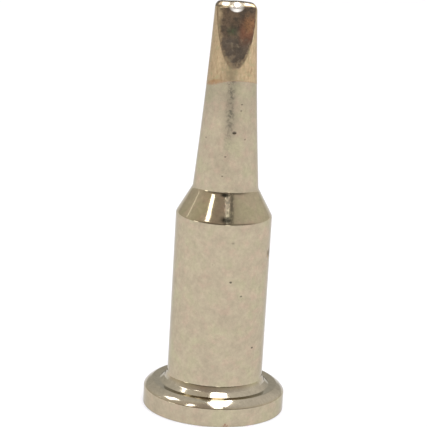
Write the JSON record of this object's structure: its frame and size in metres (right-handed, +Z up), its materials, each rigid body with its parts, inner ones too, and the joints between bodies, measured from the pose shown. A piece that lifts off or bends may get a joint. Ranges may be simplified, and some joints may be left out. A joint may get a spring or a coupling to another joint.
{
  "type": "soldering iron tip",
  "caption": "Plated copper soldering tip with a flanged blind socket, a round barrel, a conical shoulder and a slim taper ending in a tinned chisel edge.",
  "frame": {"origin": "centre of the flange's flat underside, where the socket's mouth opens", "axes": "+Z runs up the turning axis towards the chisel edge, and the chisel's two flats face -Y and +Y, so its edge lies along X"},
  "size_m": [0.0126, 0.0126, 0.0366],
  "materials": {
    "plated_copper": "satin nickel plate over copper, tinned with solder at the chisel end"
  },
  "bodies": {
    "root": {"soldering_tip": "plated_copper"}
  },
  "joints": []
}
